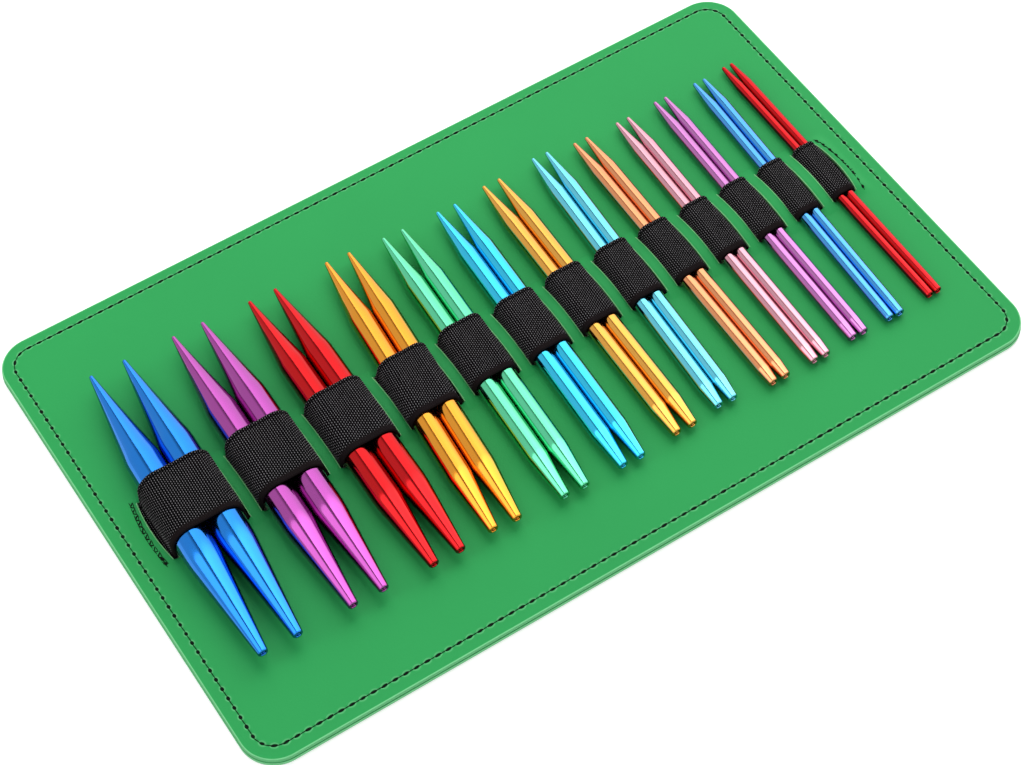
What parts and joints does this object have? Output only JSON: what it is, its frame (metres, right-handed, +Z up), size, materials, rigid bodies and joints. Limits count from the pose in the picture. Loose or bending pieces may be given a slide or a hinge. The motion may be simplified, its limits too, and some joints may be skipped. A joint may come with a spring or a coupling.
{
  "type": "circular knitting needle set",
  "caption": "Flat stitched leatherette board with a woven elastic band whose loops hold pairs of tapered, tapped needle points in graded sizes.",
  "frame": {"origin": "middle of the underside of the board", "axes": "+X along the length of the board towards the thin needles, +Y from the tapped tails towards the points, +Z up"},
  "size_m": [0.247, 0.1524, 0.0143],
  "materials": {
    "leatherette": "satin",
    "grey_board": "matte",
    "elastic": "matte",
    "edge_thread": "matte",
    "anchor_thread": "matte",
    "anodised_blue": "anodised, polished",
    "anodised_magenta": "anodised, polished",
    "anodised_red": "anodised, polished",
    "anodised_amber": "anodised, polished",
    "anodised_mint": "anodised, polished",
    "anodised_sky": "anodised, polished",
    "anodised_gold": "anodised, polished",
    "anodised_pale_cyan": "anodised, polished",
    "anodised_copper": "anodised, polished",
    "anodised_rose": "anodised, polished",
    "anodised_violet": "anodised, polished",
    "anodised_cobalt": "anodised, polished",
    "anodised_crimson": "anodised, polished"
  },
  "bodies": {
    "board": {"back_cover": "leatherette", "stiffener_board": "grey_board", "top_cover": "leatherette", "cover_bridges": "leatherette", "edge_thread_top": "edge_thread", "edge_thread_bottom": "edge_thread", "anchor_stitching_left": "anchor_thread", "anchor_stitching_right": "anchor_thread", "elastic_loop_10_0mm": "elastic", "elastic_loop_9_0mm": "elastic", "elastic_loop_8_0mm": "elastic", "elastic_loop_7_0mm": "elastic", "elastic_loop_6_0mm": "elastic", "elastic_loop_5_5mm": "elastic", "elastic_loop_5_0mm": "elastic", "elastic_loop_4_5mm": "elastic", "elastic_loop_4_0mm": "elastic", "elastic_loop_3_75mm": "elastic", "elastic_loop_3_5mm": "elastic", "elastic_loop_3_25mm": "elastic", "elastic_loop_2_75mm": "elastic"},
    "needle_10_0mm_left": {"needle_10_0mm_left": "anodised_blue"},
    "needle_10_0mm_right": {"needle_10_0mm_right": "anodised_blue"},
    "needle_9_0mm_left": {"needle_9_0mm_left": "anodised_magenta"},
    "needle_9_0mm_right": {"needle_9_0mm_right": "anodised_magenta"},
    "needle_8_0mm_left": {"needle_8_0mm_left": "anodised_red"},
    "needle_8_0mm_right": {"needle_8_0mm_right": "anodised_red"},
    "needle_7_0mm_left": {"needle_7_0mm_left": "anodised_amber"},
    "needle_7_0mm_right": {"needle_7_0mm_right": "anodised_amber"},
    "needle_6_0mm_left": {"needle_6_0mm_left": "anodised_mint"},
    "needle_6_0mm_right": {"needle_6_0mm_right": "anodised_mint"},
    "needle_5_5mm_left": {"needle_5_5mm_left": "anodised_sky"},
    "needle_5_5mm_right": {"needle_5_5mm_right": "anodised_sky"},
    "needle_5_0mm_left": {"needle_5_0mm_left": "anodised_gold"},
    "needle_5_0mm_right": {"needle_5_0mm_right": "anodised_gold"},
    "needle_4_5mm_left": {"needle_4_5mm_left": "anodised_pale_cyan"},
    "needle_4_5mm_right": {"needle_4_5mm_right": "anodised_pale_cyan"},
    "needle_4_0mm_left": {"needle_4_0mm_left": "anodised_copper"},
    "needle_4_0mm_right": {"needle_4_0mm_right": "anodised_copper"},
    "needle_3_75mm_left": {"needle_3_75mm_left": "anodised_rose"},
    "needle_3_75mm_right": {"needle_3_75mm_right": "anodised_rose"},
    "needle_3_5mm_left": {"needle_3_5mm_left": "anodised_violet"},
    "needle_3_5mm_right": {"needle_3_5mm_right": "anodised_violet"},
    "needle_3_25mm_left": {"needle_3_25mm_left": "anodised_cobalt"},
    "needle_3_25mm_right": {"needle_3_25mm_right": "anodised_cobalt"},
    "needle_2_75mm_left": {"needle_2_75mm_left": "anodised_crimson"},
    "needle_2_75mm_right": {"needle_2_75mm_right": "anodised_crimson"}
  },
  "joints": [
    {"name": "needle_10_0mm_left_draw", "type": "slide", "parent": "board", "child": "needle_10_0mm_left", "axis": [0.0279, 0.9996, 0], "range_m": [-0.064, 0.064]},
    {"name": "needle_10_0mm_right_draw", "type": "slide", "parent": "board", "child": "needle_10_0mm_right", "axis": [0.0279, 0.9996, 0], "range_m": [-0.064, 0.064]},
    {"name": "needle_9_0mm_left_draw", "type": "slide", "parent": "board", "child": "needle_9_0mm_left", "axis": [0.0175, 0.9998, 0], "range_m": [-0.064, 0.064]},
    {"name": "needle_9_0mm_right_draw", "type": "slide", "parent": "board", "child": "needle_9_0mm_right", "axis": [0.0175, 0.9998, 0], "range_m": [-0.064, 0.064]},
    {"name": "needle_8_0mm_left_draw", "type": "slide", "parent": "board", "child": "needle_8_0mm_left", "axis": [0.0157, 0.9999, 0], "range_m": [-0.064, 0.064]},
    {"name": "needle_8_0mm_right_draw", "type": "slide", "parent": "board", "child": "needle_8_0mm_right", "axis": [0.0157, 0.9999, 0], "range_m": [-0.064, 0.064]},
    {"name": "needle_7_0mm_left_draw", "type": "slide", "parent": "board", "child": "needle_7_0mm_left", "axis": [0.0785, 0.9969, 0], "range_m": [-0.064, 0.064]},
    {"name": "needle_7_0mm_right_draw", "type": "slide", "parent": "board", "child": "needle_7_0mm_right", "axis": [0.0785, 0.9969, 0], "range_m": [-0.064, 0.064]},
    {"name": "needle_6_0mm_left_draw", "type": "slide", "parent": "board", "child": "needle_6_0mm_left", "axis": [0.0436, 0.999, 0], "range_m": [-0.064, 0.064]},
    {"name": "needle_6_0mm_right_draw", "type": "slide", "parent": "board", "child": "needle_6_0mm_right", "axis": [0.0436, 0.999, 0], "range_m": [-0.064, 0.064]},
    {"name": "needle_5_5mm_left_draw", "type": "slide", "parent": "board", "child": "needle_5_5mm_left", "axis": [0.0401, 0.9992, 0], "range_m": [-0.064, 0.064]},
    {"name": "needle_5_5mm_right_draw", "type": "slide", "parent": "board", "child": "needle_5_5mm_right", "axis": [0.0401, 0.9992, 0], "range_m": [-0.064, 0.064]},
    {"name": "needle_5_0mm_left_draw", "type": "slide", "parent": "board", "child": "needle_5_0mm_left", "axis": [0.0227, 0.9997, 0], "range_m": [-0.064, 0.064]},
    {"name": "needle_5_0mm_right_draw", "type": "slide", "parent": "board", "child": "needle_5_0mm_right", "axis": [0.0227, 0.9997, 0], "range_m": [-0.064, 0.064]},
    {"name": "needle_4_5mm_left_draw", "type": "slide", "parent": "board", "child": "needle_4_5mm_left", "axis": [0.0523, 0.9986, 0], "range_m": [-0.064, 0.064]},
    {"name": "needle_4_5mm_right_draw", "type": "slide", "parent": "board", "child": "needle_4_5mm_right", "axis": [0.0523, 0.9986, 0], "range_m": [-0.064, 0.064]},
    {"name": "needle_4_0mm_left_draw", "type": "slide", "parent": "board", "child": "needle_4_0mm_left", "axis": [0.0175, 0.9998, 0], "range_m": [-0.064, 0.064]},
    {"name": "needle_4_0mm_right_draw", "type": "slide", "parent": "board", "child": "needle_4_0mm_right", "axis": [0.0175, 0.9998, 0], "range_m": [-0.064, 0.064]},
    {"name": "needle_3_75mm_left_draw", "type": "slide", "parent": "board", "child": "needle_3_75mm_left", "axis": [0.0279, 0.9996, 0], "range_m": [-0.064, 0.064]},
    {"name": "needle_3_75mm_right_draw", "type": "slide", "parent": "board", "child": "needle_3_75mm_right", "axis": [0.0279, 0.9996, 0], "range_m": [-0.064, 0.064]},
    {"name": "needle_3_5mm_left_draw", "type": "slide", "parent": "board", "child": "needle_3_5mm_left", "axis": [0.0314, 0.9995, 0], "range_m": [-0.064, 0.064]},
    {"name": "needle_3_5mm_right_draw", "type": "slide", "parent": "board", "child": "needle_3_5mm_right", "axis": [0.0314, 0.9995, 0], "range_m": [-0.064, 0.064]},
    {"name": "needle_3_25mm_left_draw", "type": "slide", "parent": "board", "child": "needle_3_25mm_left", "axis": [0.0454, 0.999, 0], "range_m": [-0.064, 0.064]},
    {"name": "needle_3_25mm_right_draw", "type": "slide", "parent": "board", "child": "needle_3_25mm_right", "axis": [0.0454, 0.999, 0], "range_m": [-0.064, 0.064]},
    {"name": "needle_2_75mm_left_draw", "type": "slide", "parent": "board", "child": "needle_2_75mm_left", "axis": [0.0122, 0.9999, 0], "range_m": [-0.064, 0.064]},
    {"name": "needle_2_75mm_right_draw", "type": "slide", "parent": "board", "child": "needle_2_75mm_right", "axis": [0.0122, 0.9999, 0], "range_m": [-0.064, 0.064]}
  ]
}
